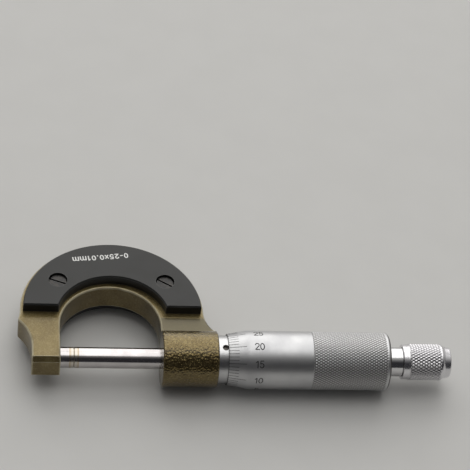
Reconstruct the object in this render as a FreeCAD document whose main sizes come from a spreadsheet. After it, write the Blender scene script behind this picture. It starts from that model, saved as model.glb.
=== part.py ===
import FreeCAD, Part
import math
import os
from types import SimpleNamespace

import Sketcher

# Outside micrometer, 0 to 25 mm, in millimetres.
# It is drawn about the spindle's axis: X runs along the axis towards the ratchet from the contact
# of the two measuring faces, Y from the axis towards the back of the C, and Z out of the back face.
# One shared placement then sets the whole part down with its origin at the middle of its base.

# Driving sizes
DRIVING_SIZES = [
    # Measuring travel and screw
    ("travel", 25.0),
    ("throat_width", 31.1),
    ("anvil_reach", 4.2),
    # Frame casting
    ("frame_thickness", 8.6),
    ("throat_depth", 10.0),
    ("back_centre_depth", 16.0),
    ("back_radius", 28.6),
    ("back_offset", 0.7),
    ("shoulder_depth", 12.2),
    ("shoulder_flare", 0.5),
    ("shoulder_round", 1.5),
    ("arm_width", 8.7),
    ("arm_neck_depth", 1.0),
    ("arm_overhang", 4.7),
    ("arm_chamfer", 1.4),
    ("rim_round", 0.7),
    ("boss_radius", 8.75),
    ("heel_flare", 2.95),
    ("boss_fillet", 1.0),
    ("boss_blend_sink", 0.05),
    ("boss_lip", 2.0),
    ("boss_round", 0.5),
    # Measuring pins
    ("spindle_radius", 3.25),
    ("anvil_bore_depth", 7.4),
    ("tip_length", 1.5),
    ("tip_chamfer", 0.2),
    ("pin_chamfer", 0.3),
    # Grip plates and their screws
    ("plate_thickness", 3.25),
    ("plate_back_margin", 0.9),
    ("plate_drop", 1.9),
    ("plate_throat_margin", 1.85),
    ("plate_end_rise", 5.0),
    ("plate_chamfer", 0.4),
    ("screw_margin", 5.6),
    ("screw_angle", 43.0),
    ("screw_recess_radius", 2.95),
    ("screw_seat", 1.2),
    ("screw_head_radius", 2.6),
    ("screw_head_height", 1.25),
    ("screw_slot_width", 0.7),
    ("screw_slot_depth", 0.6),
    ("screw_radius", 1.5),
    ("screw_grip", 3.4),
    ("back_left_slot_angle", -22.0),
    ("back_right_slot_angle", -34.0),
    ("front_left_slot_angle", 15.0),
    ("front_right_slot_angle", 62.0),
    # Inner sleeve, scale sleeve and adjusting nut
    ("inner_sleeve_radius", 6.6),
    ("inner_bore_radius", 4.1),
    ("nut_thread_radius", 3.5),
    ("nut_outer_radius", 5.4),
    ("thread_runout", 2.0),
    ("nut_slit", 0.8),
    ("nut_slit_length", 9.0),
    ("nut_length", 13.0),
    ("scale_sleeve_radius", 7.46),
    ("scale_sleeve_overrun", 1.5),
    ("spanner_hole_radius", 1.0),
    ("spanner_hole_setback", 2.1),
    ("spanner_hole_angle", 78.0),
    ("adjusting_nut_radius", 6.9),
    ("adjusting_nut_length", 3.2),
    ("adjusting_nut_notch", 1.6),
    # Thimble
    ("thimble_gap", 2.9),
    ("thimble_edge_radius", 7.85),
    ("thimble_radius", 9.05),
    ("bevel_length", 6.4),
    ("thimble_length", 50.7),
    ("thimble_bore_radius", 7.62),
    ("thimble_round", 1.1),
    ("hub_length", 5.5),
    ("taper_radius", 3.0),
    ("taper_length", 4.5),
    ("taper_small_radius", 2.4),
    # Ratchet
    ("neck_radius", 4.6),
    ("neck_length", 4.5),
    ("stem_screw_length", 5.0),
    ("knob_radius", 5.69),
    ("knob_collar_radius", 5.45),
    ("knob_collar_length", 2.1),
    ("knob_grip_length", 10.1),
    ("knob_end_length", 3.1),
    ("knob_end_radius", 4.8),
    ("knob_bore_radius", 4.4),
    ("knob_round", 0.5),
    ("knob_end_wall", 2.2),
    ("stem_radius", 1.6),
    ("stem_screw_radius", 1.5),
    ("wheel_radius", 4.1),
    ("wheel_thickness", 1.3),
    ("tooth_height", 0.6),
    ("tooth_clearance", 0.06),
    ("tooth_inner_radius", 1.9),
    ("tooth_outer_radius", 4.0),
    ("pawl_thickness", 1.8),
    ("key_width", 1.2),
    ("key_height", 0.7),
    ("spring_wire_radius", 0.3),
    ("spring_radius", 2.9),
    ("end_screw_radius", 0.9),
    ("end_screw_length", 4.0),
    ("end_screw_head_radius", 2.4),
    ("end_screw_head_height", 1.0),
    ("end_screw_sink", 0.3),
    ("end_screw_gap", 0.3),
    # Spindle clamp on the front face
    ("clamp_from_boss", 7.6),
    ("clamp_depth", 11.0),
    ("stud_radius", 2.0),
    ("stud_shaft", 6.9),
    ("stud_square", 2.4),
    ("cam_radius", 1.4),
    ("cam_throw", 0.2),
    ("clamp_turn", 30.0),
    ("shoe_radius", 1.4),
    ("shoe_hollow", 0.4),
    ("lever_length", 9.6),
    ("lever_thickness", 1.5),
    ("lever_bevel", 0.25),
    ("lever_lift", 0.5),
    ("lever_hub_radius", 2.8),
    ("lever_tip_radius", 1.3),
    ("lever_rest_angle", -12.0),
    ("lever_screw_radius", 0.7),
    ("lever_screw_grip", 3.0),
    ("lever_screw_head_radius", 1.9),
    ("lever_screw_head_height", 0.8),
    ("lever_screw_slot_angle", 35.0),
    # Clearances
    ("running_clearance", 0.03),
    ("face_clearance", 0.1),
    ("seat_clearance", 0.02),
    # How far a cut runs past the face that it goes through
    ("overcut", 1.0),
]
RATCHET_TEETH = 12
SPRING_TURNS = 5

# Half a tooth's share of the circle, for the wheel and, a little less, for the pawl ring
TOOTH_TANGENT = math.tan(math.radians(180 / RATCHET_TEETH))
PAWL_TANGENT = math.tan(math.radians(180 / RATCHET_TEETH - 1))
TOOTH_ROOT = 0.3


class Size:
    """A length or angle: its number, and the expression on the sheet that gives it."""

    def __init__(self, number, text):
        self.number = float(number)
        self.text = text

    def __add__(self, other):
        other = as_size(other)
        return Size(self.number + other.number, f"({self.text} + {other.text})")

    def __sub__(self, other):
        other = as_size(other)
        return Size(self.number - other.number, f"({self.text} - {other.text})")

    def __mul__(self, other):
        other = as_size(other)
        return Size(self.number * other.number, f"({self.text} * {other.text})")

    def __truediv__(self, other):
        other = as_size(other)
        return Size(self.number / other.number, f"({self.text} / {other.text})")

    def __neg__(self):
        return as_size(0) - self


def as_size(value):
    if isinstance(value, Size):
        return value
    return Size(value, f"{float(value):.6f}")


def root(size):
    return Size(math.sqrt(size.number), f"sqrt({size.text})")


def cosine(angle):
    return Size(math.cos(math.radians(angle.number)), f"cos({angle.text})")


def sine(angle):
    return Size(math.sin(math.radians(angle.number)), f"sin({angle.text})")


def upright_arc(across, along):
    """The radius of an arc that starts upright and moves this far across and along."""
    return (across * across + along * along) / (across * 2)


def hollow_arc(x, y):
    """The hollow arc that stands upright at (x, y) and touches the left shoulder's round: its
    radius and the point where it touches."""
    across = x - shoulder_mid
    along = size.shoulder_depth - y
    rounding = size.shoulder_round
    radius = (across * across + along * along - rounding * rounding) / ((across + rounding) * 2)
    share = rounding / (radius + rounding)
    touch = (shoulder_mid + (x - radius - shoulder_mid) * share, size.shoulder_depth - along * share)
    return radius, touch


doc = FreeCAD.newDocument("outside_micrometer")
sheet = doc.addObject("Spreadsheet::Sheet", "Sizes")
size = SimpleNamespace()
for row, (alias, number) in enumerate(DRIVING_SIZES, start=1):
    sheet.set(f"A{row}", alias.replace("_", " "))
    sheet.set(f"B{row}", str(number))
    sheet.setAlias(f"B{row}", alias)
    setattr(size, alias, Size(number, f"Sizes.{alias}"))
doc.recompute()

# Places worked out from the driving sizes
axis = as_size(0)
half_frame = size.frame_thickness / 2
arm_face = -size.anvil_reach
boss_face = size.throat_width - size.anvil_reach
throat_mid = (arm_face + boss_face) / 2
throat_radius = size.throat_width / 2
back_mid = throat_mid + size.back_offset
back_left = back_mid - size.back_radius
back_right = back_mid + size.back_radius
boss_end = back_right + size.heel_flare + size.boss_round
shoulder_left = back_left - size.shoulder_flare
arm_back = arm_face - size.arm_width
blend_floor = half_frame - size.boss_blend_sink
boss_top = root(
    (size.boss_radius + size.boss_fillet) * (size.boss_radius + size.boss_fillet)
    - (blend_floor + size.boss_fillet) * (blend_floor + size.boss_fillet)
)
heel_radius = upright_arc(size.heel_flare, size.back_centre_depth - boss_top)
shoulder_mid = shoulder_left + size.shoulder_round
flare_radius, flare_touch = hollow_arc(back_left, size.back_centre_depth)
cove_radius, cove_touch = hollow_arc(arm_back, size.arm_neck_depth)
plate_top = half_frame + size.plate_thickness
plate_radius = size.back_radius - size.plate_back_margin
plate_centre = size.back_centre_depth - size.plate_drop
plate_throat_radius = throat_radius + size.plate_throat_margin
plate_end = size.throat_depth + size.plate_end_rise
screw_ring = plate_throat_radius + size.screw_margin
screw_left = back_mid - screw_ring * cosine(size.screw_angle)
screw_right = back_mid + screw_ring * cosine(size.screw_angle)
screw_depth = size.throat_depth + screw_ring * sine(size.screw_angle)
thimble_edge = boss_end + size.thimble_gap
bevel_end = thimble_edge + size.bevel_length
thimble_end = thimble_edge + size.thimble_length
hub_face = thimble_end - size.hub_length
nut_end = thimble_edge + size.travel + size.scale_sleeve_overrun + size.adjusting_nut_length
nut_start = nut_end - size.nut_length
spindle_end = hub_face + size.taper_length
thread_start = nut_start - size.travel
thread_end = nut_end + size.thread_runout
guide_end = thread_start - size.pin_chamfer - size.face_clearance
sleeve_front = boss_face + size.boss_lip
scale_end = nut_end - size.adjusting_nut_length
knob_start = thimble_end + size.neck_length
knob_end = knob_start + size.knob_collar_length + size.knob_grip_length + size.knob_end_length
knob_wall_end = knob_end - size.end_screw_head_height - size.end_screw_sink
stem_end = knob_wall_end + size.face_clearance
wheel_face = knob_start - size.face_clearance + size.wheel_thickness
pawl_face = wheel_face + size.tooth_height + size.tooth_clearance
clamp_mid = boss_end - size.clamp_from_boss

# The cam's centre stands off the stud's, so that turning the lever brings its far side to the shoe
cam_angle = as_size(-90) - size.clamp_turn
cam_mid_x = clamp_mid + size.cam_throw * cosine(cam_angle)
cam_mid_y = size.clamp_depth + size.cam_throw * sine(cam_angle)

# The part's origin: the middle of its base
shift_x = -(shoulder_left + knob_end) / 2
shift_y = -(size.back_centre_depth + size.back_radius - size.thimble_radius) / 2
shift_z = size.thimble_radius


def set_down(piece):
    """Give a sub-part the placement that all of them share."""
    piece.setExpression("Placement.Base.x", shift_x.text)
    piece.setExpression("Placement.Base.y", shift_y.text)
    piece.setExpression("Placement.Base.z", shift_z.text)


def new_body(label):
    body = doc.addObject("PartDesign::Body", label)
    body.Label = label
    set_down(body)
    return body


def new_sketch(body, name, plane="XY_Plane", lift=None):
    """A sketch on one of the body's own planes, lifted along the plane's normal."""
    sketch = body.newObject("Sketcher::SketchObject", name)
    origin_plane = [item for item in body.Origin.OriginFeatures if item.Role == plane][0]
    sketch.AttachmentSupport = [(origin_plane, "")]
    sketch.MapMode = "FlatFace"
    if lift is not None:
        sketch.setExpression("AttachmentOffset.Base.z", lift.text)
    return sketch


def hold(sketch, kind, edge, end, value):
    """Hold one coordinate of a sketch point to a size."""
    if value.text == axis.text:
        line = -2 if kind == "DistanceX" else -1
        sketch.addConstraint(Sketcher.Constraint("PointOnObject", edge, end, line))
        return
    number = sketch.addConstraint(Sketcher.Constraint(kind, -1, 1, edge, end, value.number))
    sketch.setExpression(f"Constraints[{number}]", value.text)


def draw_outline(sketch, steps):
    """Draw a closed outline. A step is (x, y), or (x, y, radius, turn) where the edge that
    arrives there is an arc, with turn +1 for anticlockwise and -1 for clockwise."""
    points = [(as_size(step[0]), as_size(step[1])) for step in steps]
    count = len(steps)
    first = sketch.GeometryCount
    starts = []
    ends = []
    for index in range(count):
        target = (index + 1) % count
        begin = FreeCAD.Vector(points[index][0].number, points[index][1].number, 0)
        finish = FreeCAD.Vector(points[target][0].number, points[target][1].number, 0)
        step = steps[target]
        if len(step) == 2:
            sketch.addGeometry(Part.LineSegment(begin, finish))
            starts.append(1)
            ends.append(2)
            continue
        radius, turn = step[2], step[3]
        chord = finish - begin
        across = FreeCAD.Vector(-chord.y, chord.x, 0).normalize() * turn
        rise = math.sqrt(max(radius.number ** 2 - (chord.Length / 2) ** 2, 0))
        centre = begin + chord / 2 + across * rise
        circle = Part.Circle(centre, FreeCAD.Vector(0, 0, 1), radius.number)
        low, high = (begin, finish) if turn > 0 else (finish, begin)
        low_angle = math.atan2(low.y - centre.y, low.x - centre.x)
        high_angle = math.atan2(high.y - centre.y, high.x - centre.x)
        sketch.addGeometry(Part.ArcOfCircle(circle, low_angle, high_angle))
        starts.append(1 if turn > 0 else 2)
        ends.append(2 if turn > 0 else 1)
    for index in range(count):
        target = (index + 1) % count
        joint = ("Coincident", first + index, ends[index], first + target, starts[target])
        sketch.addConstraint(Sketcher.Constraint(*joint))
    for index in range(count):
        hold(sketch, "DistanceX", first + index, starts[index], points[index][0])
        hold(sketch, "DistanceY", first + index, starts[index], points[index][1])
    for index in range(count):
        step = steps[(index + 1) % count]
        if len(step) == 4:
            bind = Sketcher.Constraint("Radius", first + index, step[2].number)
            number = sketch.addConstraint(bind)
            sketch.setExpression(f"Constraints[{number}]", step[2].text)


def draw_circle(sketch, x, y, radius):
    centre = FreeCAD.Vector(x.number, y.number, 0)
    circle = Part.Circle(centre, FreeCAD.Vector(0, 0, 1), radius.number)
    edge = sketch.addGeometry(circle)
    hold(sketch, "DistanceX", edge, 3, x)
    hold(sketch, "DistanceY", edge, 3, y)
    number = sketch.addConstraint(Sketcher.Constraint("Radius", edge, radius.number))
    sketch.setExpression(f"Constraints[{number}]", radius.text)


def pad(body, name, sketch, length, midplane=False, backwards=False):
    feature = body.newObject("PartDesign::Pad", name)
    feature.Profile = sketch
    feature.Midplane = midplane
    feature.Reversed = backwards
    feature.setExpression("Length", length.text)
    doc.recompute()
    return feature


def pocket(body, name, sketch, length=None, midplane=False, backwards=False):
    """Cut a sketch out of the body, and check that it took material away."""
    before = body.Shape.Volume
    feature = body.newObject("PartDesign::Pocket", name)
    feature.Profile = sketch
    feature.Midplane = midplane
    feature.Reversed = backwards
    feature.setExpression("Length", length.text)
    doc.recompute()
    assert feature.Shape.Volume < before - 1e-6, f"{body.Label}: {name} cuts nothing"
    return feature


def turn_about_axis(body, name, steps):
    """Turn a profile, given as (along, radius) steps, about the spindle's axis."""
    sketch = new_sketch(body, f"{name}_profile")
    draw_outline(sketch, steps)
    feature = body.newObject("PartDesign::Revolution", name)
    feature.Profile = sketch
    feature.ReferenceAxis = (sketch, ["H_Axis"])
    feature.Angle = 360.0
    doc.recompute()
    return feature


def turned(label, steps):
    body = new_body(label)
    turn_about_axis(body, f"{label}_turned", steps)
    return body


def repeat_about_axis(body, name, feature, count):
    """Copy a feature around the spindle's axis."""
    pattern = body.newObject("PartDesign::PolarPattern", name)
    x_axis = [item for item in body.Origin.OriginFeatures if item.Role == "X_Axis"][0]
    pattern.Originals = [feature]
    pattern.Axis = (x_axis, [""])
    pattern.Angle = 360.0
    pattern.Occurrences = count
    body.Tip = pattern
    doc.recompute()
    return pattern


def face_names(shape, test):
    """Names of the faces that pass a test on their middle point and direction."""
    names = []
    for index, face in enumerate(shape.Faces, start=1):
        if test(face):
            names.append(f"Face{index}")
    return names


def edge_names(shape, test):
    """Names of the edges that pass a test on their middle point."""
    names = []
    for index, edge in enumerate(shape.Edges, start=1):
        middle = edge.valueAt((edge.FirstParameter + edge.LastParameter) / 2)
        if test(edge, middle):
            names.append(f"Edge{index}")
    return names


def flat_at_height(height):
    """A test for the flat faces that lie at a height over the axis."""
    def test(face):
        box = face.BoundBox
        return box.ZLength < 1e-6 and abs(box.ZMin - height.number) < 1e-6
    return test


def ease(body, name, kind, base, items, amount):
    """Round or chamfer some edges or the rims of some faces."""
    assert items, f"{body.Label}: {name} finds no edges"
    feature = body.newObject(kind, name)
    feature.Base = (base, items)
    feature.setExpression("Radius" if kind.endswith("Fillet") else "Size", amount.text)
    doc.recompute()
    return feature


def make_frame():
    """The cast C: a flat arm of even thickness, a round boss blended into it, and its bores."""
    body = new_body("frame")
    outline = new_sketch(body, "c_outline")
    draw_outline(outline, [
        (boss_end - size.boss_round, axis),
        (boss_end - size.boss_round, boss_top),
        (back_right, size.back_centre_depth, heel_radius, -1),
        (back_mid, size.back_centre_depth + size.back_radius, size.back_radius, 1),
        (back_left, size.back_centre_depth, size.back_radius, 1),
        (*flare_touch, flare_radius, -1),
        (*cove_touch, size.shoulder_round, 1),
        (arm_back, size.arm_neck_depth, cove_radius, -1),
        (arm_back, -size.arm_overhang),
        (arm_face, -size.arm_overhang),
        (arm_face, size.throat_depth),
        (throat_mid, size.throat_depth + throat_radius, throat_radius, -1),
        (boss_face, size.throat_depth, throat_radius, -1),
        (boss_face, axis),
    ])
    arm = pad(body, "c_arm", outline, size.frame_thickness, midplane=True)

    def on_flats(edge, middle):
        return abs(abs(middle.z) - half_frame.number) < 1e-6 and edge.BoundBox.ZLength < 1e-6
    ease(body, "rim_rounding", "PartDesign::Fillet", arm, edge_names(arm.Shape, on_flats),
         size.rim_round)

    # The end of the anvil's arm is bevelled on both sides
    bevels = new_sketch(body, "arm_end_bevels_outline", "YZ_Plane", arm_face + size.overcut)
    for side in (1, -1):
        draw_outline(bevels, [
            (-size.arm_overhang, (half_frame - size.arm_chamfer) * side),
            (size.arm_chamfer - size.arm_overhang, half_frame * side),
            (size.arm_chamfer - size.arm_overhang, (half_frame + size.overcut) * side),
            (-size.arm_overhang - size.overcut, (half_frame + size.overcut) * side),
            (-size.arm_overhang - size.overcut, (half_frame - size.arm_chamfer) * side),
        ])
    pocket(body, "arm_end_bevels", bevels, size.arm_width + size.overcut * 2)

    # The boss's section is a circle that blends into the arm's two flats, and its ends are turned
    reach = size.boss_radius + size.boss_fillet
    touch_y = boss_top * size.boss_radius / reach
    touch_z = (blend_floor + size.boss_fillet) * size.boss_radius / reach
    section = new_sketch(body, "boss_section", "YZ_Plane", boss_face + size.boss_round)
    draw_outline(section, [
        (-size.boss_radius, axis, size.boss_radius, 1),
        (touch_y, -touch_z, size.boss_radius, 1),
        (boss_top, -blend_floor, size.boss_fillet, -1),
        (boss_top, blend_floor),
        (touch_y, touch_z, size.boss_fillet, -1),
    ])
    pad(body, "boss", section, boss_end - boss_face - size.boss_round * 2)
    for name, face, way in (("boss_front", boss_face, 1), ("boss_back", boss_end, -1)):
        turn_about_axis(body, name, [
            (face, axis),
            (face, size.boss_radius - size.boss_round),
            (face + size.boss_round * way, size.boss_radius, size.boss_round, -way),
            (face + size.boss_round * way, axis),
        ])

    # Bores along the axis: the anvil's, the spindle's way through the lip, the inner sleeve's seat
    anvil_bore = new_sketch(body, "anvil_bore_circle", "YZ_Plane", arm_face)
    draw_circle(anvil_bore, axis, axis, size.spindle_radius)
    pocket(body, "anvil_bore", anvil_bore, size.anvil_bore_depth)
    lip_bore = new_sketch(body, "lip_bore_circle", "YZ_Plane", boss_face)
    draw_circle(lip_bore, axis, axis, size.spindle_radius + size.running_clearance)
    pocket(body, "lip_bore", lip_bore, size.boss_lip, backwards=True)
    seat_bore = new_sketch(body, "seat_bore_circle", "YZ_Plane", sleeve_front)
    draw_circle(seat_bore, axis, axis, size.inner_sleeve_radius)
    pocket(body, "seat_bore", seat_bore, boss_end - sleeve_front, backwards=True)

    # Tapped holes for the plates' screws, right through the arm
    screw_holes = new_sketch(body, "screw_hole_circles")
    for place in (screw_left, screw_right):
        draw_circle(screw_holes, place, screw_depth, size.screw_radius)
    pocket(body, "screw_holes", screw_holes, size.frame_thickness + size.overcut, midplane=True)

    # The clamp's blind bore from the front face, and the shoe's way from it to the spindle
    stud_bore = new_sketch(body, "stud_bore_circle", "XY_Plane", -half_frame)
    draw_circle(stud_bore, clamp_mid, size.clamp_depth, size.stud_radius + size.running_clearance)
    pocket(body, "stud_bore", stud_bore, size.stud_shaft, backwards=True)
    shoe_bore = new_sketch(body, "shoe_bore_circle", "XZ_Plane")
    draw_circle(shoe_bore, clamp_mid, axis, size.shoe_radius + size.seat_clearance)
    pocket(body, "shoe_bore", shoe_bore, size.clamp_depth)
    return body


def make_pins():
    """Anvil, spindle and their brazed tips, all turned about the axis."""
    anvil_back = arm_face - size.anvil_bore_depth
    turned("anvil", [
        (anvil_back, axis),
        (anvil_back, size.spindle_radius - size.pin_chamfer),
        (anvil_back + size.pin_chamfer, size.spindle_radius),
        (-size.tip_length, size.spindle_radius),
        (-size.tip_length, axis),
    ])
    turned("anvil_tip", [
        (-size.tip_length, axis),
        (-size.tip_length, size.spindle_radius),
        (-size.tip_chamfer, size.spindle_radius),
        (axis, size.spindle_radius - size.tip_chamfer),
        (axis, axis),
    ])
    turned("spindle_tip", [
        (axis, axis),
        (axis, size.spindle_radius - size.tip_chamfer),
        (size.tip_chamfer, size.spindle_radius),
        (size.tip_length, size.spindle_radius),
        (size.tip_length, axis),
    ])
    turned("spindle", [
        (size.tip_length, axis),
        (size.tip_length, size.spindle_radius),
        (thread_start - size.pin_chamfer, size.spindle_radius),
        (thread_start, size.nut_thread_radius),
        (thread_end, size.nut_thread_radius),
        (thread_end + size.pin_chamfer, size.taper_radius),
        (hub_face, size.taper_radius),
        (spindle_end, size.taper_small_radius),
        (spindle_end, size.stem_screw_radius + size.running_clearance),
        (spindle_end - size.stem_screw_length, size.stem_screw_radius + size.running_clearance),
        (spindle_end - size.stem_screw_length, axis),
    ])


def make_plate(label, side):
    """A moulded grip plate: a crescent with bevelled edges and two recesses for its screws."""
    body = new_body(label)
    outer_half = root(plate_radius * plate_radius
                      - (plate_end - plate_centre) * (plate_end - plate_centre))
    inner_half = root(plate_throat_radius * plate_throat_radius
                      - size.plate_end_rise * size.plate_end_rise)
    base = half_frame if side > 0 else -half_frame
    top = plate_top if side > 0 else -plate_top
    outline = new_sketch(body, f"{label}_outline", "XY_Plane", base)
    draw_outline(outline, [
        (back_mid + outer_half, plate_end),
        (back_mid, plate_centre + plate_radius, plate_radius, 1),
        (back_mid - outer_half, plate_end, plate_radius, 1),
        (back_mid - inner_half, plate_end),
        (back_mid, size.throat_depth + plate_throat_radius, plate_throat_radius, -1),
        (back_mid + inner_half, plate_end, plate_throat_radius, -1),
    ])
    crescent = pad(body, f"{label}_crescent", outline, size.plate_thickness, backwards=side < 0)
    ease(body, f"{label}_bevel", "PartDesign::Chamfer", crescent,
         face_names(crescent.Shape, flat_at_height(top)), size.plate_chamfer)
    recesses = new_sketch(body, f"{label}_recess_circles", "XY_Plane", top)
    holes = new_sketch(body, f"{label}_hole_circles", "XY_Plane", top)
    for place in (screw_left, screw_right):
        draw_circle(recesses, place, screw_depth, size.screw_recess_radius)
        draw_circle(holes, place, screw_depth, size.screw_radius + size.seat_clearance)
    pocket(body, f"{label}_recesses", recesses, size.plate_thickness - size.screw_seat,
           backwards=side < 0)
    pocket(body, f"{label}_holes", holes, size.plate_thickness, backwards=side < 0)
    return body


def place_primitive(piece, x, y, z):
    piece.setExpression("Placement.Base.x", (x + shift_x).text)
    piece.setExpression("Placement.Base.y", (y + shift_y).text)
    piece.setExpression("Placement.Base.z", (z + shift_z).text)


def upright_cylinder(name, x, y, z, radius, height):
    piece = doc.addObject("Part::Cylinder", name)
    piece.setExpression("Radius", radius.text)
    piece.setExpression("Height", height.text)
    place_primitive(piece, x, y, z)
    return piece


def join(kind, name, base, tool):
    result = doc.addObject(kind, name)
    result.Base = base
    result.Tool = tool
    return result


def slotted_screw(name, x, y, seat, side, head_radius, head_height, shank_radius, shank, angle):
    """A cheese-head screw that stands on its seat and points up for side +1, down for -1."""
    head_z = seat if side > 0 else seat - head_height
    shank_z = seat - shank if side > 0 else seat
    head = upright_cylinder(f"{name}_head", x, y, head_z, head_radius, head_height)
    stem = upright_cylinder(f"{name}_shank", x, y, shank_z, shank_radius, shank)
    whole = join("Part::Fuse", f"{name}_blank", head, stem)
    slot = doc.addObject("Part::Box", f"{name}_slot")
    slot.setExpression("Length", ((head_radius + size.overcut) * 2).text)
    slot.setExpression("Width", size.screw_slot_width.text)
    slot.setExpression("Height", size.screw_slot_depth.text)
    half_length = head_radius + size.overcut
    half_width = size.screw_slot_width / 2
    slot_z = seat + head_height - size.screw_slot_depth if side > 0 else seat - head_height
    slot.Placement.Rotation = FreeCAD.Rotation(FreeCAD.Vector(0, 0, 1), angle.number)
    slot.setExpression("Placement.Rotation.Angle", angle.text)
    place_primitive(slot, x - half_length * cosine(angle) + half_width * sine(angle),
                    y - half_length * sine(angle) - half_width * cosine(angle), slot_z)
    return join("Part::Cut", name, whole, slot)


def make_plate_screws(label, side, angles):
    """The two slotted screws of one plate, sunk in its recesses."""
    base = half_frame + size.screw_seat
    seat = base if side > 0 else -base
    screws = []
    for number, (place, angle) in enumerate(zip((screw_left, screw_right), angles), start=1):
        screws.append(slotted_screw(
            f"{label}_{number}", place, screw_depth, seat, side, size.screw_head_radius,
            size.screw_head_height, size.screw_radius - size.seat_clearance,
            size.screw_seat + size.screw_grip, angle))
    group = doc.addObject("Part::Compound", label)
    group.Label = label
    group.Links = screws


def make_sleeves():
    """Inner sleeve with its split nut, the adjusting nut on it, and the scale sleeve around it."""
    sleeve = turned("inner_sleeve", [
        (sleeve_front, size.spindle_radius + size.running_clearance),
        (sleeve_front, size.inner_sleeve_radius),
        (scale_end, size.inner_sleeve_radius),
        (scale_end, size.nut_outer_radius),
        (nut_end, size.nut_outer_radius),
        (nut_end, size.nut_thread_radius + size.running_clearance),
        (nut_start, size.nut_thread_radius + size.running_clearance),
        (nut_start, size.inner_bore_radius),
        (guide_end, size.inner_bore_radius),
        (guide_end, size.spindle_radius + size.running_clearance),
    ])
    slit = new_sketch(sleeve, "nut_slit_outline", "XY_Plane")
    half_slit = size.nut_slit / 2
    draw_outline(slit, [
        (nut_end - size.nut_slit_length, -half_slit),
        (nut_end + size.overcut, -half_slit),
        (nut_end + size.overcut, half_slit),
        (nut_end - size.nut_slit_length, half_slit),
    ])
    cut = pocket(sleeve, "nut_slit", slit, size.inner_sleeve_radius + size.overcut, backwards=True)
    repeat_about_axis(sleeve, "nut_slits", cut, 3)
    shoe_hole = new_sketch(sleeve, "shoe_hole_circle", "XZ_Plane")
    draw_circle(shoe_hole, clamp_mid, axis, size.shoe_radius + size.seat_clearance)
    pocket(sleeve, "shoe_hole", shoe_hole, size.inner_sleeve_radius + size.overcut)

    nut_bore = size.nut_outer_radius + size.seat_clearance
    nut = turned("adjusting_nut", [
        (scale_end + size.face_clearance, nut_bore),
        (scale_end + size.face_clearance, size.adjusting_nut_radius),
        (nut_end, size.adjusting_nut_radius),
        (nut_end, nut_bore),
    ])
    notch = new_sketch(nut, "nut_notch_outline", "XY_Plane")
    half_notch = size.adjusting_nut_notch / 2
    draw_outline(notch, [
        (nut_end - half_notch, -half_notch),
        (nut_end + size.overcut, -half_notch),
        (nut_end + size.overcut, half_notch),
        (nut_end - half_notch, half_notch),
    ])
    notch_cut = pocket(nut, "nut_notch", notch, size.adjusting_nut_radius + size.overcut,
                       backwards=True)
    repeat_about_axis(nut, "nut_notches", notch_cut, 4)

    scale = turned("scale_sleeve", [
        (boss_end + size.face_clearance, size.inner_sleeve_radius + size.running_clearance),
        (boss_end + size.face_clearance, size.scale_sleeve_radius),
        (scale_end - size.pin_chamfer, size.scale_sleeve_radius),
        (scale_end, size.scale_sleeve_radius - size.pin_chamfer),
        (scale_end, size.inner_sleeve_radius + size.running_clearance),
    ])
    # The spanner's hole goes in across the wall, nearly on top
    hole = new_sketch(scale, "spanner_hole_circle", "XY_Plane")
    tilt = as_size(90) - size.spanner_hole_angle
    hole.AttachmentOffset = FreeCAD.Placement(
        FreeCAD.Vector(0, 0, 0), FreeCAD.Rotation(FreeCAD.Vector(1, 0, 0), tilt.number))
    hole.setExpression("AttachmentOffset.Rotation.Angle", tilt.text)
    draw_circle(hole, boss_end + size.spanner_hole_setback, axis, size.spanner_hole_radius)
    pocket(scale, "spanner_hole", hole, size.scale_sleeve_radius + size.overcut, backwards=True)


def make_thimble():
    """The thimble: bevelled edge, long barrel over the sleeve, and a hub bored to the taper."""
    turned("thimble", [
        (thimble_edge, size.thimble_bore_radius),
        (thimble_edge, size.thimble_edge_radius),
        (bevel_end, size.thimble_radius),
        (thimble_end - size.thimble_round, size.thimble_radius),
        (thimble_end, size.thimble_radius - size.thimble_round, size.thimble_round, -1),
        (thimble_end, size.stem_screw_radius + size.running_clearance),
        (spindle_end + size.face_clearance, size.stem_screw_radius + size.running_clearance),
        (spindle_end + size.face_clearance, size.taper_small_radius + size.running_clearance),
        (hub_face, size.taper_radius + size.running_clearance),
        (hub_face, size.thimble_bore_radius),
    ])


def tooth_section(body, name, radius, corners, tangent):
    """One ratchet tooth in the plane that lies at a radius, its corners as (along, side)."""
    sketch = new_sketch(body, name, "XY_Plane", radius)
    draw_outline(sketch, [(along, radius * tangent * side) for along, side in corners])
    return sketch


def add_teeth(body, name, corners, tangent):
    """A ring of face-ratchet teeth, each lofted outwards from the stem's hole to the rim."""
    loft = body.newObject("PartDesign::AdditiveLoft", f"{name}_tooth")
    loft.Profile = tooth_section(body, f"{name}_inner", size.tooth_inner_radius, corners, tangent)
    loft.Sections = [tooth_section(body, f"{name}_outer", size.tooth_outer_radius, corners, tangent)]
    loft.Ruled = True
    doc.recompute()
    return repeat_about_axis(body, f"{name}_teeth", loft, RATCHET_TEETH)


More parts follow.
